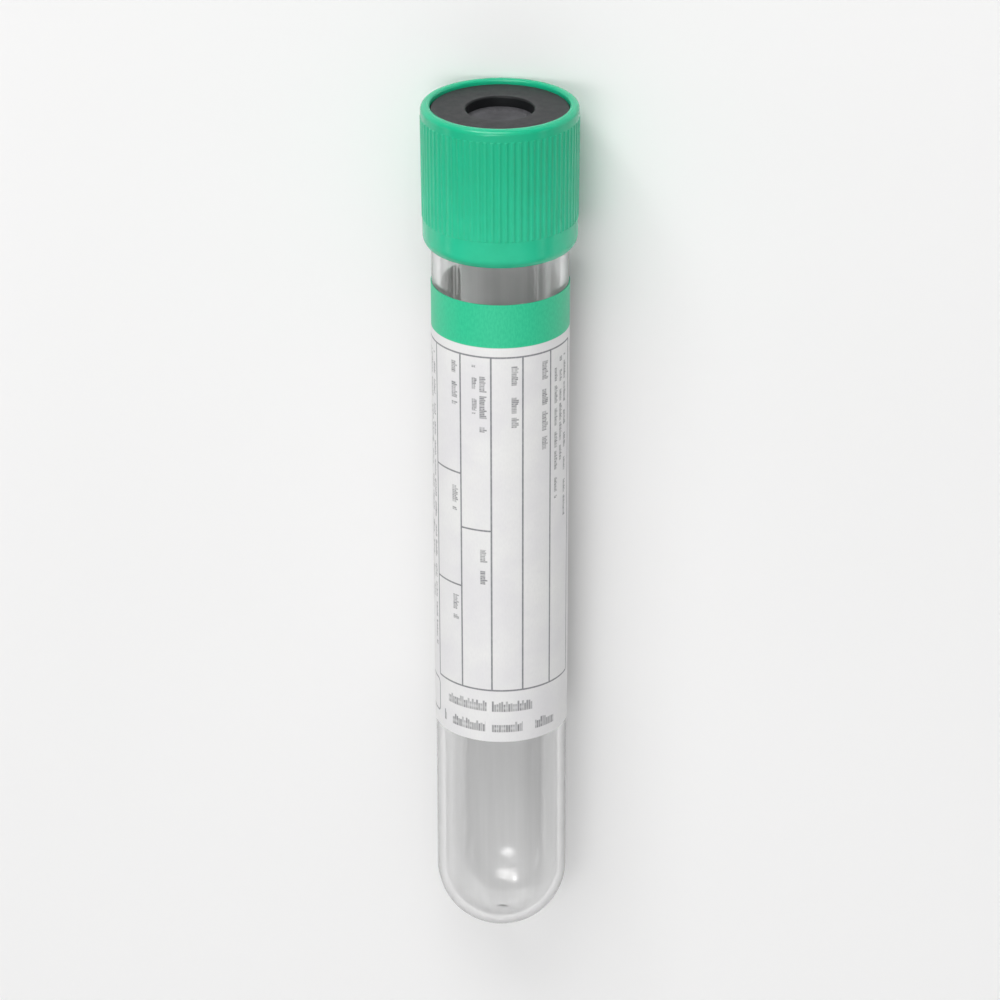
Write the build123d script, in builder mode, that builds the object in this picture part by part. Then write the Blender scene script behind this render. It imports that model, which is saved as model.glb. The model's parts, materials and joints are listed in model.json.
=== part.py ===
from build123d import *

import math
import os

os.makedirs("parts", exist_ok=True)

# ---------------------------------------------------------------------------
# Driving dimensions, in millimetres. "t" is a height along the tube's axis,
# counted from the outer pole of the round bottom (0) to the top of the cap.
# ---------------------------------------------------------------------------

# tube
tube_length = 100.0  # outer pole to mouth
mouth_r = 8.0  # outer radius at the mouth
foot_r = 7.73  # outer radius of the round bottom and of the straight part over it
straight_top = 27.7  # from here up the tube widens, with a little draft
wall = 1.0
lip_round = 0.3
gate_r = 0.9  # shallow dimple that the injection gate leaves at the pole
gate_depth = 0.15

# closure, heights down from the top of the cap
cap_height = 16.8
cap_above_mouth = 5.0  # top of the cap over the tube's mouth
rim_r = 9.15  # radius over the ribs, carried up to the cap's top
skirt_r = 8.98  # the same, carried down to the cap's lower edge
band_inset = 0.06  # the smooth bands above and below the ribs lie this much deeper
rim_round_out = 0.6
rim_round_in = 0.3
skirt_round_high = 1.1  # the lower edge turns in over this height
skirt_round_wide = 0.52
opening_r = 8.0  # the well that the ring and the flange drop into
recess = 0.55  # ring's top face below the cap's top
ring_thick = 1.25
ring_hole_r = 3.9
ring_r = 7.95
snap_depth = 0.2  # bead round the ring, and its groove in the shell
snap_height = 0.5
flange_thick = 2.4
flange_r = 7.9
ledge_hole_r = 7.2
skirt_bore_r = 8.25
mouth_gap = 0.05  # ledge over the tube's mouth

# ribs round the cap
rib_count = 72
rib_top = 1.5
rib_bottom = 13.4
groove_cut_r = 0.45  # radius of the tool that cuts one groove
groove_depth = 0.10

# plug of the stopper
plug_gap = 0.03  # radial, to the bore, all the way down
plug_depth = 8.0  # below the mouth
plug_round = 0.8
hollow_r = 4.2
hollow_height = 6.3  # from the plug's end up to the crown of the hollow
dish_r = 3.2  # shallow dish in the top, where the needle goes in
dish_depth = 0.35

# label
label_thick = 0.10
label_bottom = straight_top
label_top = 83.5
label_wrap_deg = 260.0
label_corner_r = 1.5

# ---------------------------------------------------------------------------
# How the capped tube lies. The round bottom and the ribs' lower ends touch the
# floor, z = 0, so the axis rises slightly towards the cap. The axis is in the
# plane x = 0, the cap points to +Y, and a groove faces straight down, so that
# the two ribs beside it both touch.
# ---------------------------------------------------------------------------
cap_top = tube_length + cap_above_mouth
cap_foot = cap_top - cap_height


def rib_r(t):
    """Radius over the cap's ribs, which has a little draft."""
    return rim_r + (skirt_r - rim_r) * (cap_top - t) / cap_height


def band_r(t):
    """Radius of the cap's smooth bands."""
    return rib_r(t) - band_inset


def tube_outer_r(t):
    """Outer radius of the tube above its round bottom."""
    drafted = max(0.0, t - straight_top) / (tube_length - straight_top)
    return foot_r + (mouth_r - foot_r) * drafted


groove_half_width = math.sqrt(groove_cut_r**2 - (groove_cut_r - groove_depth) ** 2)
rest_t = cap_top - rib_bottom
rib_edge = math.asin(groove_half_width / rib_r(rest_t))  # straight down to a rib
rest_r = rib_r(rest_t) * math.cos(rib_edge)
# foot_r + (rest_t - foot_r) * sin(lean) = rest_r * cos(lean)
lean = 0.0
for _ in range(60):
    lean = math.asin((rest_r * math.cos(lean) - foot_r) / (rest_t - foot_r))

# The box of the whole runs from the edge of the gate's dimple to the cap's upper
# edge, and its middle is at y = 0. Both are counted from the pole here.
gate_t = foot_r - math.sqrt(foot_r**2 - gate_r**2)
low_y = gate_t * math.cos(lean) - gate_r * math.sin(lean)
high_y = (
    (cap_top - rim_round_out) * math.cos(lean)
    + (band_r(cap_top) - rim_round_out) * math.sin(lean)
    + rim_round_out
)
pole = (0.0, -(low_y + high_y) / 2, foot_r - foot_r * math.sin(lean))
along = (0.0, math.cos(lean), math.sin(lean))
up = (0.0, -math.sin(lean), math.cos(lean))
axis_line = Axis(pole, along)


def on_axis(t):
    """The point of the axis at height t."""
    return tuple(p + t * a for p, a in zip(pole, along))


def spoke(turn_deg):
    """The direction square to the axis, turn_deg round from up towards +X."""
    a = math.radians(turn_deg)
    return (math.sin(a), up[1] * math.cos(a), up[2] * math.cos(a))


def half_section(turn_deg=90.0):
    """A plane through the axis: local x is the radius, local y is t."""
    a = math.radians(turn_deg)
    side = (-math.cos(a), up[1] * math.sin(a), up[2] * math.sin(a))
    return Plane(origin=pole, x_dir=spoke(turn_deg), z_dir=side)


def across(t):
    """The plane square to the axis at t, its normal towards the cap."""
    return Plane(origin=on_axis(t), x_dir=(1, 0, 0), z_dir=along)


def facing(t, turn_deg):
    """A plane with its origin on the axis at t, its normal along the spoke at
    turn_deg and its local y towards the cap."""
    a = math.radians(turn_deg)
    x_dir = (math.cos(a), -up[1] * math.sin(a), -up[2] * math.sin(a))
    return Plane(origin=on_axis(t), x_dir=x_dir, z_dir=spoke(turn_deg))


def dome(on_axis_t, edge_r, edge_t):
    """Start, middle and end of an arc that is square to the axis at height
    on_axis_t and meets the point (edge_r, edge_t)."""
    rise = edge_t - on_axis_t
    ball = (edge_r**2 + rise**2) / (2 * abs(rise))
    a = math.asin(edge_r / ball) / 2
    bend = math.copysign(ball * (1 - math.cos(a)), rise)
    return (0, on_axis_t), (ball * math.sin(a), on_axis_t + bend), (edge_r, edge_t)


def corners_at(sketch, *points):
    """The sketch's vertices at these (radius, t) points."""
    return [
        v
        for v in sketch.vertices()
        if any(abs(v.X - x) < 1e-5 and abs(v.Y - y) < 1e-5 for x, y in points)
    ]


# ---------------------------------------------------------------------------
# tube: one clear moulding with a hemispherical bottom
# ---------------------------------------------------------------------------
inner_foot_r = foot_r - wall
inner_mouth_r = mouth_r - wall


def bore_r(t):
    """Inner radius of the tube above its round bottom."""
    return tube_outer_r(t) - wall


slant = math.sqrt(0.5)
with BuildPart() as tube:
    with BuildSketch(half_section()) as tube_section:
        with BuildLine():
            straight_line = Line((foot_r, foot_r), (foot_r, straight_top))
            outer_line = Line(straight_line @ 1, (mouth_r, tube_length))
            mouth_line = Line(outer_line @ 1, (inner_mouth_r, tube_length))
            bore_line = Line(mouth_line @ 1, (inner_foot_r, straight_top))
            inner_line = Line(bore_line @ 1, (inner_foot_r, foot_r))
            inner_arc = ThreePointArc(
                inner_line @ 1,
                (inner_foot_r * slant, foot_r - inner_foot_r * slant),
                (0, wall),
            )
            # the gate leaves a shallow dimple at the pole
            pole_line = Line(inner_arc @ 1, (0, gate_t + gate_depth))
            gate_arc = ThreePointArc(*dome(gate_t + gate_depth, gate_r, gate_t))
            outer_arc = ThreePointArc(
                gate_arc @ 1,
                (foot_r * slant, foot_r - foot_r * slant),
                straight_line @ 0,
            )
        make_face()
        fillet(
            corners_at(
                tube_section, (mouth_r, tube_length), (inner_mouth_r, tube_length)
            ),
            radius=lip_round,
        )
    revolve(axis=axis_line)
tube.part.label = "tube"
export_step(tube.part, "parts/tube.step")

# ---------------------------------------------------------------------------
# cap_shell: green shell, open at the top, with a ledge under the stopper's
# flange and a snap groove for the ring. Below the ledge it is a skirt that
# goes over the tube's mouth.
# ---------------------------------------------------------------------------
ring_top = cap_top - recess
ring_foot = ring_top - ring_thick
ledge_top = ring_foot - flange_thick
ledge_foot = tube_length + mouth_gap
snap_mid = (ring_top + ring_foot) / 2

# the tool for one groove, on the tube's own axis as z, square to the drafted wall
top_t, foot_t = cap_top - rib_top, cap_top - rib_bottom
tool_reach = groove_cut_r - groove_depth
with BuildPart() as groove_tool:
    with BuildSketch(
        Plane(
            origin=(rib_r(foot_t) + tool_reach, 0, foot_t - 2 * band_inset),
            x_dir=(0, 1, 0),
            z_dir=(rib_r(top_t) - rib_r(foot_t), 0, top_t - foot_t),
        )
    ):
        Circle(groove_cut_r)
    extrude(amount=top_t - foot_t + 4 * band_inset)

with BuildPart() as cap_shell:
    with BuildSketch(half_section()) as shell_section:
        with BuildLine():
            turn_in = (band_r(cap_foot + skirt_round_high), cap_foot + skirt_round_high)
            foot_out = (band_r(cap_foot) - skirt_round_wide, cap_foot)
            Polyline(
                turn_in,
                (band_r(foot_t), foot_t - 2 * band_inset),
                (rib_r(foot_t), foot_t),
                (rib_r(top_t), top_t),
                (band_r(top_t), top_t + 2 * band_inset),
                (band_r(cap_top), cap_top),
                (opening_r, cap_top),
                (opening_r, snap_mid + snap_height),
                (opening_r + snap_depth, snap_mid + snap_height / 2),
                (opening_r + snap_depth, snap_mid - snap_height / 2),
                (opening_r, snap_mid - snap_height),
                (opening_r, ledge_top),
                (ledge_hole_r, ledge_top),
                (ledge_hole_r, ledge_foot),
                (skirt_bore_r, ledge_foot),
                (skirt_bore_r, cap_foot),
                foot_out,
            )
            TangentArc(
                [turn_in, foot_out],
                tangent=(skirt_r - rim_r, -cap_height),
            )
        make_face()
        fillet(
            corners_at(shell_section, (band_r(cap_top), cap_top)), radius=rim_round_out
        )
        fillet(corners_at(shell_section, (opening_r, cap_top)), radius=rim_round_in)
        fillet(corners_at(shell_section, (skirt_bore_r, cap_foot)), radius=0.1)
    revolve(axis=axis_line)
    with Locations(across(0).location):
        with PolarLocations(0, rib_count):
            add(groove_tool.part, mode=Mode.SUBTRACT)
cap_shell.part.label = "cap_shell"
export_step(cap_shell.part, "parts/cap_shell.step")

# ---------------------------------------------------------------------------
# retaining_ring: flat dark ring, snapped into the shell over the stopper
# ---------------------------------------------------------------------------
bead_r = opening_r + snap_depth - 0.05
with BuildPart() as retaining_ring:
    with BuildSketch(half_section()) as ring_section:
        with BuildLine():
            Polyline(
                (ring_hole_r, ring_top),
                (ring_r, ring_top),
                (ring_r, snap_mid + snap_height - 0.06),
                (bead_r, snap_mid + snap_height / 2 - 0.04),
                (bead_r, snap_mid - snap_height / 2 + 0.04),
                (ring_r, snap_mid - snap_height + 0.06),
                (ring_r, ring_foot),
                (ring_hole_r, ring_foot),
                close=True,
            )
        make_face()
        fillet(corners_at(ring_section, (ring_hole_r, ring_top)), radius=0.25)
        fillet(corners_at(ring_section, (ring_r, ring_top)), radius=0.12)
    revolve(axis=axis_line)
retaining_ring.part.label = "retaining_ring"
export_step(retaining_ring.part, "parts/retaining_ring.step")

# ---------------------------------------------------------------------------
# stopper: rubber, a flange on the ledge and a plug in the bore, dished on top
# and hollow underneath, so that a needle goes through a thinner middle
# ---------------------------------------------------------------------------
plug_foot = tube_length - plug_depth
plug_foot_r = bore_r(plug_foot) - plug_gap
plug_neck_r = bore_r(tube_length) - plug_gap
crown = plug_foot + hollow_height
with BuildPart() as stopper:
    with BuildSketch(half_section()) as stopper_section:
        with BuildLine():
            top_line = Line((dish_r, ring_foot), (flange_r, ring_foot))
            side_line = Line(top_line @ 1, (flange_r, ledge_top))
            under_line = Line(side_line @ 1, (plug_neck_r, ledge_top))
            neck_line = Line(under_line @ 1, (plug_neck_r, tube_length))
            plug_line = Line(neck_line @ 1, (plug_foot_r, plug_foot))
            foot_line = Line(plug_line @ 1, (hollow_r, plug_foot))
            hollow_line = Line(foot_line @ 1, (hollow_r - 0.35, crown - 1.6))
            ThreePointArc(*dome(crown, hollow_r - 0.35, crown - 1.6))
            Line((0, crown), (0, ring_foot - dish_depth))
            ThreePointArc(*dome(ring_foot - dish_depth, dish_r, ring_foot))
        make_face()
        fillet(
            corners_at(stopper_section, (plug_foot_r, plug_foot)), radius=plug_round
        )
        fillet(corners_at(stopper_section, (hollow_r, plug_foot)), radius=0.4)
        fillet(
            corners_at(stopper_section, (flange_r, ring_foot), (flange_r, ledge_top)),
            radius=0.3,
        )
    revolve(axis=axis_line)
stopper.part.label = "stopper"
export_step(stopper.part, "parts/stopper.step")

# ---------------------------------------------------------------------------
# label: thin skin on the tube, its middle straight up and its gap underneath,
# with rounded corners
# ---------------------------------------------------------------------------
half_wrap = label_wrap_deg / 2
with BuildPart() as label:
    with BuildSketch(half_section(-half_wrap)):
        with BuildLine():
            Polyline(
                (tube_outer_r(label_bottom), label_bottom),
                (tube_outer_r(label_bottom) + label_thick, label_bottom),
                (tube_outer_r(label_top) + label_thick, label_top),
                (tube_outer_r(label_top), label_top),
                close=True,
            )
        make_face()
    revolve(axis=axis_line, revolution_arc=label_wrap_deg)
    # each corner loses a square with a quarter circle left in it
    for turn, side in ((-half_wrap, 1), (half_wrap, -1)):
        for t, rise in ((label_bottom, 1), (label_top, -1)):
            with BuildSketch(facing(t, turn)):
                with BuildLine():
                    r = label_corner_r
                    Line((-side * r, -rise * r), (side * r, -rise * r))
                    Line((side * r, -rise * r), (side * r, 0))
                    CenterArc(
                        center=(side * r, rise * r),
                        radius=r,
                        start_angle=-90 * rise,
                        arc_size=-90 * side * rise,
                    )
                    Line((0, rise * r), (-side * r, rise * r))
                    Line((-side * r, rise * r), (-side * r, -rise * r))
                make_face()
            extrude(amount=mouth_r + 2, mode=Mode.SUBTRACT)
label.part.label = "label"
export_step(label.part, "parts/label.step")

whole = Compound([p.part for p in (tube, cap_shell, retaining_ring, stopper, label)])
box = whole.bounding_box()
print(f"lean {math.degrees(lean):.4f} degrees, pole {pole}, along {along}, up {up}")
print("box", box.min, box.max)
for p in (tube, cap_shell, retaining_ring, stopper, label):
    print(p.part.label, f"{p.part.volume:.1f} mm3", p.part.bounding_box())
for t in (8, 17.7, 27.7, 60, 92, 102.85):
    print(f"t {t}: outer {tube_outer_r(t):.4f}, bore {bore_r(t):.4f}, axis {on_axis(t)}")
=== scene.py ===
import json
import math

import bpy
from mathutils import Matrix, Vector


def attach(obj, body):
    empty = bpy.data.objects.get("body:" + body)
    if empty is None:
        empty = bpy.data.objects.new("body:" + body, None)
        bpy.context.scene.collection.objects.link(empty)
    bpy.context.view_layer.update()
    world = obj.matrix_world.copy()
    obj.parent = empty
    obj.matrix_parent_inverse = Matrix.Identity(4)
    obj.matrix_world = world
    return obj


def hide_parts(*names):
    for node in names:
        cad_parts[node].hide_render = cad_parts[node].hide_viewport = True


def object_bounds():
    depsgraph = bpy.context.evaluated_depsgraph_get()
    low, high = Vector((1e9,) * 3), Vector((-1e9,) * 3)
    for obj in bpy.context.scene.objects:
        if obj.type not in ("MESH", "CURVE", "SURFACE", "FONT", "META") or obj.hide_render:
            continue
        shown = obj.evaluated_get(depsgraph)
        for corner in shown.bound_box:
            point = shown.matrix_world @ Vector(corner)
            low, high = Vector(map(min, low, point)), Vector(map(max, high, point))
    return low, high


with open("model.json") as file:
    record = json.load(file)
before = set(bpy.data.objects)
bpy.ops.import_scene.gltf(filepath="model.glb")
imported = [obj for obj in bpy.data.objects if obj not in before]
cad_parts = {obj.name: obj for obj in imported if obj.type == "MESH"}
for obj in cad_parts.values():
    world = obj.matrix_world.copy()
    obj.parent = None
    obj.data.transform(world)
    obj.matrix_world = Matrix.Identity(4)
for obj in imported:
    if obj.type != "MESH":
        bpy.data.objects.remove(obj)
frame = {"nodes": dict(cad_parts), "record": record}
cad_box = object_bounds()
nodes = frame["nodes"]
MM = 0.001

# ---------------------------------------------------------------------------
# Dimensions in millimetres, the same as in the CAD source. "t" is a height
# along the tube's axis from the pole of its round bottom, and "turn" an angle
# about the axis in degrees, 0 straight up and 90 towards +X.
# ---------------------------------------------------------------------------
TUBE_LENGTH, MOUTH_R, FOOT_R, STRAIGHT_TOP = 100.0, 8.0, 7.73, 27.7
WALL, LIP_ROUND, GATE_R, GATE_DEPTH = 1.0, 0.3, 0.9, 0.15
CAP_TOP, CAP_FOOT = 105.0, 88.2
LABEL_BOTTOM, LABEL_TOP, LABEL_WRAP = 27.7, 83.5, 260.0
LABEL_THICK, LABEL_CORNER = 0.10, 1.5

record_mount = {m["name"]: m for m in frame["record"]["mounts"]}["tube_body"]
X = Vector((1.0, 0.0, 0.0))
ALONG = -Vector(record_mount["axis"]).normalized()
UP = X.cross(ALONG)
POLE = Vector(record_mount["pos_m"]) - ALONG * (17.715 * MM)


def outer_r(t):
    """Outer radius of the tube above its round bottom."""
    drafted = max(0.0, t - STRAIGHT_TOP) / (TUBE_LENGTH - STRAIGHT_TOP)
    return FOOT_R + (MOUTH_R - FOOT_R) * drafted


def place(t, r, turn):
    """The point at height t, radius r and angle turn, in the row frame, in metres."""
    a = math.radians(turn)
    return POLE + (ALONG * t + (X * math.sin(a) + UP * math.cos(a)) * r) * MM


def new_piece(name, points, faces, body, cad_node, slot):
    mesh = bpy.data.meshes.new(name)
    mesh.from_pydata([tuple(p) for p in points], [], faces)
    mesh.validate()
    mesh.shade_smooth()
    made = bpy.data.objects.new(name, mesh)
    bpy.context.scene.collection.objects.link(made)
    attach(made, body)
    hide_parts(cad_node)
    return made


def sharpen(mesh, degrees):
    """Marks the edges whose two faces meet at more than this angle as sharp."""
    mesh.set_sharp_from_angle(angle=math.radians(degrees))


# ---------------------------------------------------------------------------
# The clear tube: one closed wall, turned about the axis. The profile runs from
# the outer pole up the outside, over the lip and down the bore to the inner pole.
# ---------------------------------------------------------------------------
def arc(centre, radius, start, end, steps):
    """Points (r, t) round a centre (r, t); angles in degrees, 0 outwards, 90 up."""
    return [
        (
            centre[0] + radius * math.cos(math.radians(start + (end - start) * i / steps)),
            centre[1] + radius * math.sin(math.radians(start + (end - start) * i / steps)),
        )
        for i in range(steps + 1)
    ]


def run(a, b, steps):
    """Points after a, up to and including b."""
    return [
        (a[0] + (b[0] - a[0]) * i / steps, a[1] + (b[1] - a[1]) * i / steps)
        for i in range(1, steps + 1)
    ]


def tube_profile():
    gate_t = FOOT_R - math.sqrt(FOOT_R**2 - GATE_R**2)
    gate_dome = (GATE_R**2 + GATE_DEPTH**2) / (2 * GATE_DEPTH)
    dome_angle = math.degrees(math.asin(GATE_R / gate_dome))
    points = arc((0, gate_t + GATE_DEPTH - gate_dome), gate_dome, 90, 90 - dome_angle, 7)
    foot_angle = math.degrees(math.acos(GATE_R / FOOT_R))
    points += arc((0, FOOT_R), FOOT_R, -foot_angle, 0, 36)[1:]
    points += run((FOOT_R, FOOT_R), (FOOT_R, STRAIGHT_TOP), 8)
    lip_t = TUBE_LENGTH - LIP_ROUND
    points += run((FOOT_R, STRAIGHT_TOP), (outer_r(lip_t), lip_t), 24)
    points += arc((MOUTH_R - LIP_ROUND, lip_t), LIP_ROUND, 0, 90, 8)[1:]
    inner_mouth_r = MOUTH_R - WALL
    points += arc((inner_mouth_r + LIP_ROUND, lip_t), LIP_ROUND, 90, 180, 8)
    inner_foot_r = FOOT_R - WALL
    points += run((inner_mouth_r, lip_t), (inner_foot_r, STRAIGHT_TOP), 24)
    points += run((inner_foot_r, STRAIGHT_TOP), (inner_foot_r, FOOT_R), 8)
    points += arc((0, FOOT_R), inner_foot_r, 0, -90, 40)[1:]
    return points


def turned(profile, segments):
    """Vertices and faces of a closed solid whose profile starts and ends on the axis."""
    points, rings = [place(profile[0][1], 0, 0)], []
    for r, t in profile[1:-1]:
        rings.append(len(points))
        points += [place(t, r, 360 * j / segments) for j in range(segments)]
    last = len(points)
    points.append(place(profile[-1][1], 0, 0))
    faces = []
    for j in range(segments):
        k = (j + 1) % segments
        faces.append((0, rings[0] + k, rings[0] + j))
        for low, high in zip(rings, rings[1:]):
            faces.append((low + j, low + k, high + k, high + j))
        faces.append((rings[-1] + j, rings[-1] + k, last))
    return points, faces


tube = new_piece(
    "tube_wall", *turned(tube_profile(), 192), "tube", "tube", "clear_pet"
)
sharpen(tube.data, 20)
# faces of the bore and the inside of the round bottom take the second material
for face in tube.data.polygons:
    away = face.center - POLE
    level = away.dot(ALONG) / MM
    radius = (away - ALONG * away.dot(ALONG)).length / MM
    inside = (
        radius < outer_r(level) - WALL * 0.6
        if level > FOOT_R
        else math.hypot(radius, level - FOOT_R) < FOOT_R - WALL * 0.6
    )
    face.material_index = 1 if inside and level < TUBE_LENGTH - 0.5 else 0


# ---------------------------------------------------------------------------
# The label: a thin sheet wrapped round the tube, with rounded corners. Its map
# "print" holds the place on the sheet, across and up, in units of 100 mm.
# ---------------------------------------------------------------------------
PRINT_R = 7.95


def label_mesh():
    half = LABEL_WRAP / 2
    reach = math.radians(half) * PRINT_R
    offsets = [LABEL_CORNER * (1 - math.cos(math.pi / 2 * i / 7)) for i in range(8)]
    inner_count = 150
    middle = [
        -reach + LABEL_CORNER + (2 * reach - 2 * LABEL_CORNER) * i / inner_count
        for i in range(1, inner_count)
    ]
    columns = (
        [-reach + o for o in offsets] + middle + [reach - o for o in reversed(offsets)]
    )
    rows = 72
    points, where = [], []
    for side in (0, 1):
        for s in columns:
            e = min(LABEL_CORNER, reach - abs(s))
            cut = LABEL_CORNER - math.sqrt(
                max(0.0, LABEL_CORNER**2 - (LABEL_CORNER - e) ** 2)
            )
            low, high = LABEL_BOTTOM + cut, LABEL_TOP - cut
            for i in range(rows + 1):
                t = low + (high - low) * i / rows
                r = outer_r(t) + (LABEL_THICK if side == 0 else -0.01)
                points.append(place(t, r, math.degrees(s / PRINT_R)))
                where.append((s, t))
    n_columns, n_rows = len(columns), rows + 1
    shift = n_columns * n_rows

    def at(column, row, side):
        return side * shift + column * n_rows + row

    faces, kinds = [], []
    for c in range(n_columns - 1):
        for i in range(rows):
            faces.append((at(c, i, 0), at(c + 1, i, 0), at(c + 1, i + 1, 0), at(c, i + 1, 0)))
            kinds.append(0)
            faces.append((at(c, i, 1), at(c, i + 1, 1), at(c + 1, i + 1, 1), at(c + 1, i, 1)))
            kinds.append(1)
    for c in range(n_columns - 1):
        faces.append((at(c, 0, 0), at(c, 0, 1), at(c + 1, 0, 1), at(c + 1, 0, 0)))
        faces.append((at(c, rows, 0), at(c + 1, rows, 0), at(c + 1, rows, 1), at(c, rows, 1)))
        kinds += [2, 2]
    for i in range(rows):
        faces.append((at(0, i, 0), at(0, i + 1, 0), at(0, i + 1, 1), at(0, i, 1)))
        last = n_columns - 1
        faces.append((at(last, i, 0), at(last, i, 1), at(last, i + 1, 1), at(last, i + 1, 0)))
        kinds += [2, 2]
    return points, faces, kinds, where, reach


label_points, label_faces, label_kinds, label_where, label_reach = label_mesh()
label = new_piece(
    "label_sheet", label_points, label_faces, "tube", "label", "label_paper"
)
assert len(label.data.polygons) == len(label_kinds)
print_map = label.data.uv_layers.new(name="print")
bake_map = label.data.uv_layers.new(name="OFBake")
span = LABEL_TOP - LABEL_BOTTOM
for face, kind in zip(label.data.polygons, label_kinds):
    for loop in face.loop_indices:
        vertex = label.data.loops[loop].vertex_index
        s, t = label_where[vertex]
        print_map.data[loop].uv = (s / 100, t / 100)
        u, v = (s + label_reach) / (2 * label_reach), (t - LABEL_BOTTOM) / span
        if kind == 0:
            spot = (0.005 + 0.615 * u, 0.005 + 0.99 * v)
        elif kind == 1:
            spot = (0.63 + 0.335 * u, 0.005 + 0.99 * v)
        else:
            outer = vertex < len(label_where) // 2
            if abs(abs(s) - label_reach) < 1e-6:
                spot = (0.972 + (0.004 if outer else 0) + (0.012 if s > 0 else 0), v)
            else:
                spot = (0.99 + (0.004 if outer else 0), (0.02 + 0.45 * u) + (0.5 if v > 0.5 else 0))
        bake_map.data[loop].uv = spot
    face.material_index = 1 if kind == 1 else 0
sharpen(label.data, 50)


# ---------------------------------------------------------------------------
# Materials
# ---------------------------------------------------------------------------
def linear(r, g, b):
    """A linear colour from an 8-bit sRGB one."""
    return tuple(
        c / 12.92 if c <= 0.04045 else ((c + 0.055) / 1.055) ** 2.4
        for c in (r / 255, g / 255, b / 255)
    ) + (1.0,)


class Look:
    """One node material, with short helpers for its graph."""

    def __init__(self, name):
        self.material = bpy.data.materials.new(name)
        self.material.use_nodes = True
        self.tree = self.material.node_tree
        self.tree.nodes.clear()
        self.output = self.node("ShaderNodeOutputMaterial")

    def node(self, kind, **settings):
        made = self.tree.nodes.new(kind)
        for key, value in settings.items():
            setattr(made, key, value)
        return made

    def feed(self, socket, value):
        if isinstance(value, bpy.types.NodeSocket):
            self.tree.links.new(value, socket)
        else:
            socket.default_value = value

    def math(self, operation, a, b=0.0, c=0.0, clamp=False):
        made = self.node("ShaderNodeMath", operation=operation, use_clamp=clamp)
        for socket, value in zip(made.inputs, (a, b, c)):
            self.feed(socket, value)
        return made.outputs[0]

    def add(self, a, b):
        return self.math("ADD", a, b)

    def times(self, a, b):
        return self.math("MULTIPLY", a, b)

    def most(self, *masks):
        """The union of several masks."""
        found = masks[0]
        for m in masks[1:]:
            found = self.math("MAXIMUM", found, m)
        return found

    def ramp(self, value, low, high, to_low=0.0, to_high=1.0, smooth=True):
        made = self.node(
            "ShaderNodeMapRange", interpolation_type="SMOOTHSTEP" if smooth else "LINEAR"
        )
        for socket, v in zip(made.inputs, (value, low, high, to_low, to_high)):
            self.feed(socket, v)
        return made.outputs[0]

    def line(self, value, centre, width, soft=0.04):
        """1 within width about centre, with a soft edge."""
        off = self.math("ABSOLUTE", self.math("SUBTRACT", value, centre))
        return self.ramp(off, width / 2 - soft, width / 2 + soft, 1.0, 0.0)

    def between(self, value, low, high, soft=0.04):
        return self.line(value, (low + high) / 2, high - low, soft)

    def noise(self, vector, scale, detail=2.0, roughness=0.5, dimensions="3D"):
        made = self.node("ShaderNodeTexNoise", noise_dimensions=dimensions)
        self.feed(made.inputs["Vector"], vector)
        made.inputs["Scale"].default_value = scale
        made.inputs["Detail"].default_value = detail
        made.inputs["Roughness"].default_value = roughness
        return made.outputs[0]

    def scaled(self, vector, sizes):
        made = self.node("ShaderNodeVectorMath", operation="MULTIPLY")
        self.feed(made.inputs[0], vector)
        made.inputs[1].default_value = sizes
        return made.outputs[0]

    def mix(self, share, a, b):
        made = self.node("ShaderNodeMix", data_type="RGBA")
        self.feed(made.inputs[0], share)
        self.feed(made.inputs[6], a)
        self.feed(made.inputs[7], b)
        return made.outputs[2]

    def dot(self, vector, direction):
        made = self.node("ShaderNodeVectorMath", operation="DOT_PRODUCT")
        self.feed(made.inputs[0], vector)
        made.inputs[1].default_value = tuple(direction)
        return made.outputs["Value"]

    def cylinder(self):
        """(vector in mm across, across, along the axis; height t; radius), all in mm, about the tube's axis."""
        coordinates = self.node("ShaderNodeTexCoord").outputs["Object"]
        shifted = self.node("ShaderNodeVectorMath", operation="SUBTRACT")
        self.feed(shifted.inputs[0], coordinates)
        shifted.inputs[1].default_value = tuple(POLE)
        base = shifted.outputs[0]
        x = self.times(self.dot(base, X), 1000.0)
        y = self.times(self.dot(base, UP), 1000.0)
        t = self.times(self.dot(base, ALONG), 1000.0)
        joined = self.node("ShaderNodeCombineXYZ")
        for socket, v in zip(joined.inputs, (x, y, t)):
            self.feed(socket, v)
        radius = self.math("SQRT", self.add(self.times(x, x), self.times(y, y)))
        return joined.outputs[0], t, radius

    def bump(self, height, distance, strength=1.0):
        made = self.node("ShaderNodeBump")
        made.inputs["Strength"].default_value = strength
        made.inputs["Distance"].default_value = distance
        self.feed(made.inputs["Height"], height)
        return made.outputs[0]

    def principled(self, **values):
        made = self.node("ShaderNodeBsdfPrincipled")
        for key, value in values.items():
            self.feed(made.inputs[key.replace("_", " ").title().replace("Ior", "IOR")], value)
        return made.outputs[0]

    def share(self, part, first, second):
        """Two shaders mixed, with this part of the second."""
        made = self.node("ShaderNodeMixShader")
        for socket, value in zip(made.inputs, (part, first, second)):
            self.feed(socket, value)
        return made.outputs[0]

    def finish(self, shader):
        self.tree.links.new(shader, self.output.inputs["Surface"])
        return self.material


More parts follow.
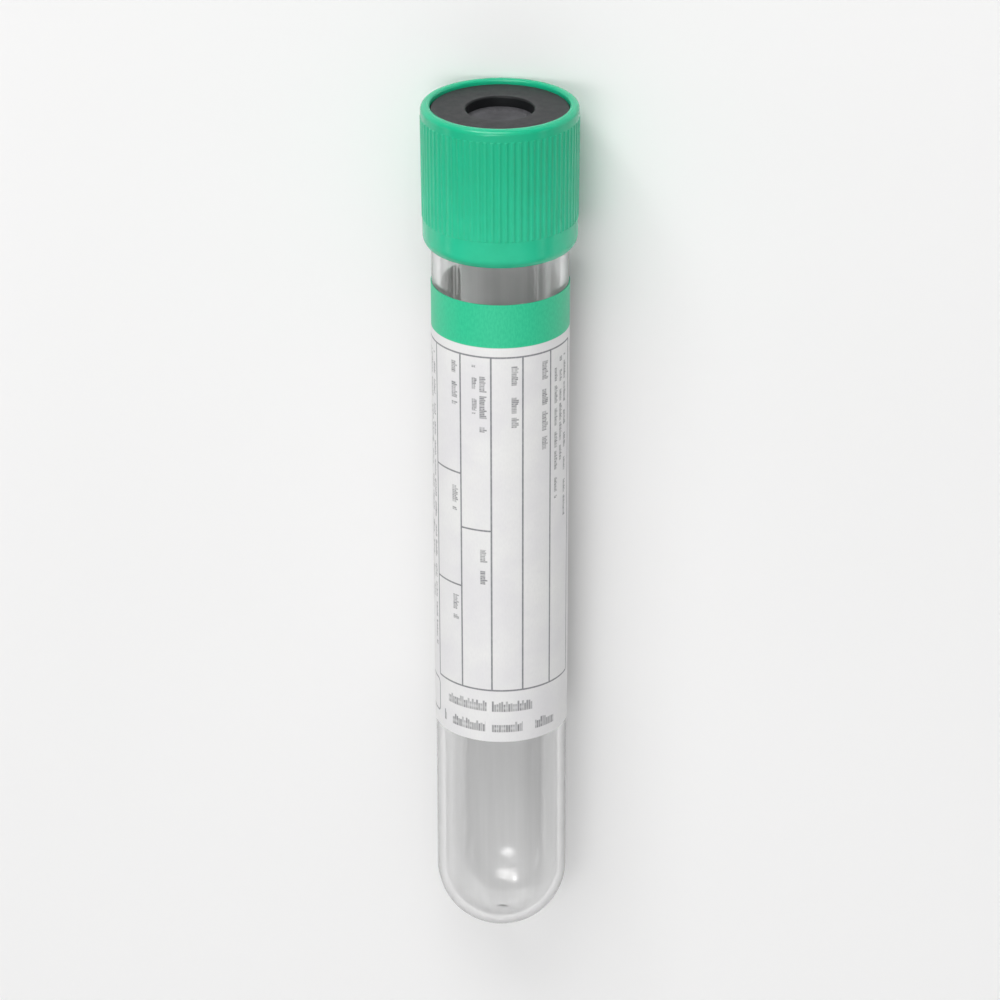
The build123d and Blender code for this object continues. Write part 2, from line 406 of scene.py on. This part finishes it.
def clear_plastic(name, inside):
    """Clear moulded PET. Rays from lamps and between dull surfaces go straight through."""
    look = Look(name)
    place_mm, t, radius = look.cylinder()
    streaks = look.noise(look.scaled(place_mm, (0.9, 0.9, 0.035)), 1.0, 3.0, 0.55)
    ripple = look.noise(look.scaled(place_mm, (0.22, 0.22, 0.05)), 1.0, 1.0, 0.4)
    fine = look.noise(place_mm, 9.0, 2.0, 0.5)
    if inside:
        # the dried coating: many faint specks, denser near the round bottom
        drops = look.node("ShaderNodeTexVoronoi", feature="F1")
        look.feed(drops.inputs["Vector"], place_mm)
        drops.inputs["Scale"].default_value = 1.7
        dots = look.ramp(drops.outputs["Distance"], 0.10, 0.46, 1.0, 0.0)
        patches = look.ramp(look.noise(place_mm, 0.16, 3.0, 0.6), 0.42, 0.68)
        specks = look.times(dots, patches)
        roughness = look.ramp(look.times(specks, look.ramp(fine, 0.3, 0.6)), 0.25, 1.0, 0.0, 0.08)
        haze = look.add(look.times(specks, 0.05), look.times(streaks, 0.03))
        height = look.add(look.times(specks, 0.10), look.add(ripple, look.times(streaks, 0.20)))
        normal = look.bump(height, 0.00002, 0.12)
    else:
        roughness = look.ramp(look.times(streaks, look.ramp(fine, 0.3, 0.6)), 0.5, 0.8, 0.0, 0.04)
        haze = look.ramp(streaks, 0.4, 0.75, 0.006, 0.035)
        normal = look.bump(look.add(ripple, look.times(streaks, 0.12)), 0.00002, 0.06)
    # seen edge on, the wall is thicker and takes more of the light, and its colour is painted darker there: a
    # painted shade that draws a dark outline along the edges
    edge = look.node("ShaderNodeLayerWeight")
    edge.inputs["Blend"].default_value = 0.5
    facing = edge.outputs["Facing"]
    painted_edge_tint = look.mix(look.ramp(facing, 0.45, 1.0), linear(250, 250, 250), linear(112, 113, 113))
    path = look.node("ShaderNodeLightPath")
    glass = look.principled(
        base_color=painted_edge_tint, roughness=roughness, ior=1.57, transmission_weight=1.0, normal=normal
    )
    if not inside:
        # moulded plastic is never quite clear: it spreads a share of what is seen through it
        spread = look.principled(
            base_color=painted_edge_tint, roughness=0.28, ior=1.57, transmission_weight=1.0, normal=normal
        )
        glass = look.share(path.outputs["Is Camera Ray"], glass, look.share(0.29, glass, spread))
    dull = look.principled(base_color=linear(238, 238, 238), roughness=0.5)
    found = look.share(haze, glass, dull)
    through = look.node("ShaderNodeBsdfTransparent")
    # light that meets the wall near its edges is thrown aside, so the shadow is darkest there
    look.feed(
        through.inputs["Color"],
        look.mix(look.ramp(facing, 0.35, 0.95), linear(251, 251, 251), linear(120, 120, 120)),
    )
    for ray in ("Is Diffuse Ray", "Is Shadow Ray"):
        found = look.share(path.outputs[ray], found, through.outputs[0])
    return look.finish(found)


def cap_green():
    look = Look("cap_green_plastic")
    place_mm, t, radius = look.cylinder()
    blotches = look.noise(place_mm, 0.35, 3.0, 0.55)
    fine = look.noise(place_mm, 6.0, 3.0, 0.6)
    grain = look.noise(place_mm, 28.0, 1.0, 0.5)
    # painted light: the green is painted lighter towards the skirt at the foot, standing for light let through
    # its thinner wall
    high, low = linear(26, 184, 139), linear(46, 202, 157)
    colour = look.mix(look.ramp(t, CAP_FOOT, CAP_TOP - 2.0, 1.0, 0.0), high, low)
    colour = look.mix(
        look.ramp(blotches, 0.3, 0.7, 0.0, 0.3), colour, linear(22, 175, 130)
    )
    # handling has dulled the ribs' crests and the rim a little lighter
    crest = look.times(
        look.ramp(look.math("SUBTRACT", radius, look.ramp(t, CAP_FOOT, CAP_TOP, 8.98, 9.15, False)), -0.14, 0.0),
        look.ramp(blotches, 0.35, 0.75, 0.15, 0.4),
    )
    colour = look.mix(look.times(crest, 0.3), colour, linear(76, 208, 166))
    roughness = look.add(look.ramp(blotches, 0.3, 0.7, 0.17, 0.24), look.times(fine, 0.05))
    normal = look.bump(look.add(look.times(fine, 0.5), look.times(grain, 0.3)), 0.00001, 0.2)
    return look.finish(
        look.principled(
            base_color=colour,
            roughness=roughness,
            ior=1.5,
            specular_ior_level=0.42,
            subsurface_weight=0.22,
            subsurface_radius=(0.5, 1.0, 0.8),
            subsurface_scale=0.0012,
            normal=normal,
        )
    )


def ring_dark():
    look = Look("ring_dark_plastic")
    place_mm, t, radius = look.cylinder()
    turning = look.noise(place_mm, 1.1, 3.0, 0.6)
    grain = look.noise(place_mm, 14.0, 2.0, 0.6)
    colour = look.mix(
        look.ramp(turning, 0.3, 0.7), linear(36, 35, 38), linear(46, 45, 48)
    )
    # fine dust lies towards the wall and round the hole
    dust = look.times(
        look.most(
            look.ramp(radius, 6.9, 8.0, 0.0, 0.5), look.ramp(radius, 4.9, 4.1, 0.0, 0.6)
        ),
        look.ramp(grain, 0.4, 0.7, 0.2, 1.0),
    )
    colour = look.mix(dust, colour, linear(72, 71, 74))
    # painted shade: the wall of the hole is painted near black, standing for the shade in the recess
    colour = look.mix(look.ramp(radius, 3.98, 4.12, 1.0, 0.0), colour, linear(20, 22, 24))
    roughness = look.add(look.ramp(turning, 0.3, 0.7, 0.40, 0.52), look.times(grain, 0.08))
    normal = look.bump(look.add(grain, look.times(turning, 0.6)), 0.00003, 0.4)
    return look.finish(
        look.principled(
            base_color=colour,
            roughness=roughness,
            ior=1.5,
            specular_ior_level=0.32,
            normal=normal,
        )
    )


def stopper_rubber():
    look = Look("stopper_dark_rubber")
    place_mm, t, radius = look.cylinder()
    mottle = look.noise(place_mm, 0.9, 4.0, 0.6)
    grain = look.noise(place_mm, 11.0, 3.0, 0.65)
    colour = look.mix(
        look.ramp(mottle, 0.3, 0.7), linear(58, 58, 61), linear(80, 80, 84)
    )
    # a dusting of talc, most where the dish has been touched least
    talc = look.times(look.ramp(radius, 0.4, 3.4, 0.15, 0.5), look.ramp(grain, 0.45, 0.7))
    colour = look.mix(talc, colour, linear(122, 122, 125))
    roughness = look.add(look.ramp(mottle, 0.3, 0.7, 0.55, 0.68), look.times(grain, 0.1))
    normal = look.bump(look.add(grain, look.times(mottle, 0.5)), 0.00004, 0.5)
    return look.finish(
        look.principled(
            base_color=colour,
            roughness=roughness,
            ior=1.5,
            normal=normal,
        )
    )


# the print, in mm up the tube and degrees round it
RULES = (-58.4, -27.2, 0.3, 27.0, 54.3)
FORM_LOW, FORM_HIGH = 34.45, 77.0
BAND_LOW = 78.2


def around(turn):
    """The distance across the sheet of an angle round the tube."""
    return math.radians(turn) * PRINT_R


def small_print(look, s, t, along_t, centre, height, start, stop, word, pitch, seed):
    """A row of short upright strokes set close together in words, standing for a line of print."""
    across, run_on = (s, t) if along_t else (t, s)
    words = look.math("DIVIDE", run_on, word)
    length = look.node("ShaderNodeTexWhiteNoise", noise_dimensions="1D")
    look.feed(length.inputs["W"], look.add(look.math("FLOOR", words), seed))
    past = look.math(
        "SUBTRACT",
        look.math("FRACT", words),
        look.ramp(length.outputs["Value"], 0.0, 1.0, 0.52, 0.94, False),
    )
    on = look.ramp(past, -0.01, 0.01, 1.0, 0.0)
    strokes = look.math("DIVIDE", run_on, pitch)
    kind = look.node("ShaderNodeTexWhiteNoise", noise_dimensions="1D")
    look.feed(kind.inputs["W"], look.add(look.math("FLOOR", strokes), seed * 7.0))
    split = look.node("ShaderNodeSeparateColor")
    look.feed(split.inputs[0], kind.outputs["Color"])
    body = look.times(
        look.line(look.math("FRACT", strokes), 0.5, 0.66, 0.16),
        look.ramp(split.outputs[0], 0.0, 1.0, 0.5, 1.0, False),
    )
    body = look.math("MAXIMUM", body, 0.4)
    off = look.math("DIVIDE", look.math("SUBTRACT", across, centre), height)
    # some strokes stand taller than the rest, and some are broken half way up
    tall = look.ramp(split.outputs[1], 0.45, 0.75, 0.2, 0.5, False)
    upright = look.times(
        look.ramp(off, -0.54, -0.46),
        look.ramp(look.math("SUBTRACT", off, tall), -0.05, 0.05, 1.0, 0.0),
    )
    broken = look.times(
        look.line(off, -0.14, 0.26, 0.1), look.ramp(split.outputs[2], 0.5, 0.55, 0.0, 0.4, False)
    )
    body = look.times(look.times(body, upright), look.math("SUBTRACT", 1.0, broken))
    return look.times(look.times(look.between(run_on, start, stop), body), on)


def thin_film(look, shader):
    """The label's film is thin enough to let some light into the tube: each face passes 0.4 of it."""
    path = look.node("ShaderNodeLightPath")
    through = look.node("ShaderNodeBsdfTransparent")
    through.inputs["Color"].default_value = (0.4, 0.4, 0.4, 1.0)
    open_film = look.node("ShaderNodeBsdfTransparent")
    found = look.share(
        path.outputs["Is Diffuse Ray"], shader, look.share(0.4, shader, open_film.outputs[0])
    )
    return look.share(path.outputs["Is Shadow Ray"], found, through.outputs[0])


def label_front():
    look = Look("label_print_film")
    uv = look.node("ShaderNodeUVMap", uv_map="print")
    parts = look.node("ShaderNodeSeparateXYZ")
    look.feed(parts.inputs[0], uv.outputs[0])
    s, t = look.times(parts.outputs[0], 100.0), look.times(parts.outputs[1], 100.0)
    flat = look.scaled(uv.outputs[0], (100.0, 100.0, 100.0))
    cloud = look.noise(flat, 0.12, 3.0, 0.6)
    fibre = look.noise(look.scaled(flat, (1.0, 0.35, 1.0)), 5.0, 3.0, 0.6)
    colour = look.mix(
        look.ramp(cloud, 0.3, 0.7), linear(232, 231, 233), linear(239, 239, 238)
    )
    colour = look.mix(look.ramp(fibre, 0.35, 0.7, 0.0, 0.25), colour, linear(224, 224, 226))

    # the band of colour at the cap end
    band = look.ramp(t, BAND_LOW - 0.04, BAND_LOW + 0.04)
    ink = look.mix(look.ramp(fibre, 0.3, 0.7), linear(44, 196, 146), linear(56, 206, 156))
    colour = look.mix(band, colour, ink)

    # the form: long rules, short cross rules and the line under them
    inside_form = look.between(t, FORM_LOW, FORM_HIGH, 0.05)
    rules = look.most(*(look.line(s, around(a), 0.2) for a in RULES))
    rules = look.times(rules, inside_form)
    side_rule = look.times(look.line(s, around(-92.0), 0.22), inside_form)
    cross = [
        look.times(look.line(t, level, 0.2), look.between(s, around(a), around(b), 0.03))
        for level, a, b in (
            (61.9, -58.4, -27.2),
            (47.5, -58.4, -27.2),
            (55.1, -27.2, 0.3),
        )
    ]
    foot = look.times(
        look.line(t, FORM_LOW, 0.2), look.between(s, around(-58.4), around(84.0))
    )
    head = look.times(
        look.line(t, FORM_HIGH, 0.2), look.between(s, around(-92.0), around(84.0))
    )
    edge_rule = look.times(look.line(s, around(84.0), 0.22), inside_form)
    grey = look.most(rules, side_rule, *cross, foot, head, edge_rule)
    wear = look.ramp(fibre, 0.25, 0.6, 0.82, 1.0)
    colour = look.mix(look.times(grey, wear), colour, linear(128, 129, 133))

    # small print, as bars: what each field is for, along the tube
    rows = [
        # centre (degrees), height, start, stop, word, stroke pitch, seed
        (-33.4, 0.85, 70.4, 75.9, 3.1, 0.22, 3.0),
        (-33.6, 0.85, 57.0, 60.8, 2.9, 0.22, 11.0),
        (-33.6, 0.85, 43.0, 46.4, 2.6, 0.22, 19.0),
        (-6.4, 0.85, 67.6, 75.9, 3.3, 0.22, 29.0),
        (-14.0, 0.6, 69.8, 75.9, 2.7, 0.19, 37.0),
        (-6.4, 0.85, 48.2, 53.9, 3.0, 0.22, 43.0),
        (20.4, 0.85, 68.2, 75.9, 3.5, 0.22, 51.0),
        (48.2, 0.85, 64.8, 75.9, 3.2, 0.22, 67.0),
        (-64.0, 0.55, 38.0, 75.6, 2.6, 0.17, 71.0),
        (-71.0, 0.55, 44.0, 75.6, 2.9, 0.17, 83.0),
        (-78.0, 0.55, 40.0, 75.6, 2.4, 0.17, 97.0),
        (-85.0, 0.55, 52.0, 75.6, 2.7, 0.17, 103.0),
        (61.5, 0.55, 58.0, 75.6, 2.8, 0.17, 113.0),
        (68.5, 0.55, 61.5, 75.6, 2.5, 0.17, 131.0),
        (75.5, 0.55, 55.0, 75.6, 2.9, 0.17, 139.0),
    ]
    words = [
        small_print(look, s, t, True, around(a), height, low, high, word, pitch, seed)
        for a, height, low, high, word, pitch, seed in rows
    ]
    colour = look.mix(
        look.times(look.most(*words), look.times(wear, 0.88)), colour, linear(86, 87, 92)
    )
    # and two rows across the tube at its foot, with a small framed mark beside them
    stamps = [
        small_print(look, s, t, False, 32.35, 1.35, around(-44.0), around(36.0), 6.3, 0.28, 151.0),
        small_print(look, s, t, False, 29.65, 1.35, around(-50.0), around(60.0), 5.4, 0.28, 175.0),
    ]
    colour = look.mix(
        look.times(look.most(*stamps), look.times(wear, 0.88)), colour, linear(86, 87, 92)
    )
    off_s = look.math("ABSOLUTE", look.math("SUBTRACT", s, around(-74.0)))
    off_t = look.math("ABSOLUTE", look.math("SUBTRACT", t, 31.6))
    corner_s = look.math("MAXIMUM", look.math("SUBTRACT", off_s, 1.5), 0.0)
    corner_t = look.math("MAXIMUM", look.math("SUBTRACT", off_t, 1.5), 0.0)
    ring = look.math(
        "SQRT", look.add(look.times(corner_s, corner_s), look.times(corner_t, corner_t))
    )
    colour = look.mix(
        look.times(look.line(ring, 0.6, 0.22), 0.75), colour, linear(120, 121, 126)
    )
    roughness = look.add(look.ramp(cloud, 0.3, 0.7, 0.36, 0.44), look.times(fibre, 0.12))
    roughness = look.add(roughness, look.times(band, -0.06))
    normal = look.bump(look.add(look.times(fibre, 0.4), look.times(cloud, 1.0)), 0.00004, 0.35)
    return look.finish(
        thin_film(
            look, look.principled(base_color=colour, roughness=roughness, ior=1.48, normal=normal)
        )
    )


def label_back():
    look = Look("label_back_film")
    place_mm, t, radius = look.cylinder()
    cloud = look.noise(place_mm, 0.3, 3.0, 0.6)
    fibre = look.noise(look.scaled(place_mm, (1.0, 1.0, 0.3)), 3.0, 3.0, 0.6)
    colour = look.mix(
        look.ramp(cloud, 0.3, 0.7), linear(206, 206, 201), linear(216, 216, 212)
    )
    colour = look.mix(look.ramp(fibre, 0.35, 0.7, 0.0, 0.3), colour, linear(196, 196, 190))
    normal = look.bump(fibre, 0.00003, 0.3)
    return look.finish(
        thin_film(
            look,
            look.principled(
                base_color=colour,
                roughness=look.ramp(cloud, 0.3, 0.7, 0.5, 0.62),
                normal=normal,
            ),
        )
    )


def floor_look():
    look = Look("floor_pale")
    coordinates = look.node("ShaderNodeTexCoord").outputs["Object"]
    cloud = look.noise(coordinates, 3.0, 3.0, 0.5)
    fine = look.noise(coordinates, 900.0, 2.0, 0.5)
    colour = look.mix(
        look.ramp(cloud, 0.3, 0.7), linear(243, 243, 243), linear(247, 247, 247)
    )
    return look.finish(
        look.principled(
            base_color=colour,
            roughness=look.ramp(fine, 0.3, 0.7, 0.72, 0.82),
            normal=look.bump(fine, 0.00002, 0.2),
        )
    )


tube.data.materials.append(clear_plastic("clear_plastic_outside", False))
tube.data.materials.append(clear_plastic("clear_plastic_bore", True))
label.data.materials.append(label_front())
label.data.materials.append(label_back())
for node, look in (
    ("cap_shell", cap_green()),
    ("retaining_ring", ring_dark()),
    ("stopper", stopper_rubber()),
):
    nodes[node].data.materials.clear()
    nodes[node].data.materials.append(look)

# ---------------------------------------------------------------------------
# Floor, lamps and camera
# ---------------------------------------------------------------------------
floor_mesh = bpy.data.meshes.new("floor")
side = 4.0
floor_mesh.from_pydata(
    [(-side, -side, 0), (side, -side, 0), (side, side, 0), (-side, side, 0)],
    [],
    [(0, 1, 2, 3)],
)
floor = bpy.data.objects.new("floor", floor_mesh)
floor.location = (0, 0, -0.00001)
bpy.context.scene.collection.objects.link(floor)
floor.data.materials.append(floor_look())

centre = (cad_box[0] + cad_box[1]) / 2


def lamp(name, direction, distance, width, height, watts, colour=(1.0, 1.0, 1.0)):
    """A soft elliptical lamp that faces the object, its height lying in the plane of +Y."""
    data = bpy.data.lights.new(name, "AREA")
    data.shape = "ELLIPSE"
    data.size, data.size_y = width, height
    data.energy = watts
    data.color = colour
    # the lamp's cloth is brightest in its middle and falls off towards its edge
    data.use_nodes = True
    tree = data.node_tree
    emission = tree.nodes["Emission"]
    spot = tree.nodes.new("ShaderNodeNewGeometry").outputs["Parametric"]
    off = tree.nodes.new("ShaderNodeVectorMath")
    off.operation = "DISTANCE"
    tree.links.new(spot, off.inputs[0])
    off.inputs[1].default_value = (0.5, 0.5, 0.0)
    fall = tree.nodes.new("ShaderNodeMapRange")
    fall.interpolation_type = "SMOOTHSTEP"
    for socket, value in zip(fall.inputs, (0.0, 0.14, 0.5, 1.9, 0.0)):
        socket.default_value = value
    tree.links.new(off.outputs["Value"], fall.inputs[0])
    tree.links.new(fall.outputs[0], emission.inputs["Strength"])
    made = bpy.data.objects.new(name, data)
    bpy.context.scene.collection.objects.link(made)
    back = Vector(direction).normalized()
    across = Vector((0.0, 1.0, 0.0)).cross(back).normalized()
    rise = back.cross(across)
    made.matrix_world = Matrix.Translation(centre + back * distance) @ Matrix(
        (across, rise, back)
    ).transposed().to_4x4()
    return made


lamp("key", (-0.12, 0.80, 0.58), 1.1, 1.3, 0.8, 8.0, (1.0, 0.99, 0.98))
lamp("overhead", (-0.08, 0.10, 1.0), 1.2, 0.9, 0.6, 4.2)
lamp("rim", (-0.40, 0.82, 0.42), 1.0, 0.26, 0.20, 0.9)
lamp("left_strip", (-0.95, -0.10, 0.24), 0.9, 0.10, 1.0, 0.6)
lamp("right_strip", (0.95, -0.12, 0.28), 0.9, 0.09, 1.0, 0.4)

world = bpy.data.worlds.new("world")
bpy.context.scene.world = world
world.use_nodes = True
background = world.node_tree.nodes["Background"]
background.inputs["Color"].default_value = (1.0, 1.0, 1.0, 1.0)
sky = world.node_tree.nodes.new("ShaderNodeTexCoord").outputs["Generated"]
upward = world.node_tree.nodes.new("ShaderNodeSeparateXYZ")
world.node_tree.links.new(sky, upward.inputs[0])
dome = world.node_tree.nodes.new("ShaderNodeMapRange")
dome.interpolation_type = "SMOOTHSTEP"
for socket, value in zip(dome.inputs, (0.0, -0.05, 0.75, 0.31, 0.53)):
    socket.default_value = value
world.node_tree.links.new(upward.outputs["Z"], dome.inputs[0])
# the two sides of the studio are darker, which gives the round sides their edges
wide = world.node_tree.nodes.new("ShaderNodeMath")
wide.operation = "ABSOLUTE"
world.node_tree.links.new(upward.outputs["X"], wide.inputs[0])
dim = world.node_tree.nodes.new("ShaderNodeMapRange")
dim.interpolation_type = "SMOOTHSTEP"
for socket, value in zip(dim.inputs, (0.0, 0.45, 0.90, 1.0, 0.2)):
    socket.default_value = value
world.node_tree.links.new(wide.outputs[0], dim.inputs[0])
both = world.node_tree.nodes.new("ShaderNodeMath")
both.operation = "MULTIPLY"
world.node_tree.links.new(dome.outputs[0], both.inputs[0])
world.node_tree.links.new(dim.outputs[0], both.inputs[1])
world.node_tree.links.new(both.outputs[0], background.inputs["Strength"])

camera_data = bpy.data.cameras.new("camera")
camera_data.sensor_width = 36.0
camera_data.lens = 190.0
camera_data.clip_start = 0.01
camera_data.clip_end = 50.0
camera = bpy.data.objects.new("camera", camera_data)
bpy.context.scene.collection.objects.link(camera)
toward = Vector((0.132, 0.400, 0.907)).normalized()
right = Vector((0.0, 1.0, 0.0)).cross(toward).normalized()
above = toward.cross(right)
camera.matrix_world = (
    Matrix.Translation(centre + above * 0.003 + toward * 0.62)
    @ Matrix((right, above, toward)).transposed().to_4x4()
)
bpy.context.scene.camera = camera

scene = bpy.context.scene
scene.view_settings.view_transform = "Standard"
scene.view_settings.look = "None"
scene.cycles.use_denoising = True
scene.cycles.max_bounces = 20
scene.cycles.transmission_bounces = 20
scene.cycles.glossy_bounces = 8
scene.cycles.transparent_max_bounces = 16
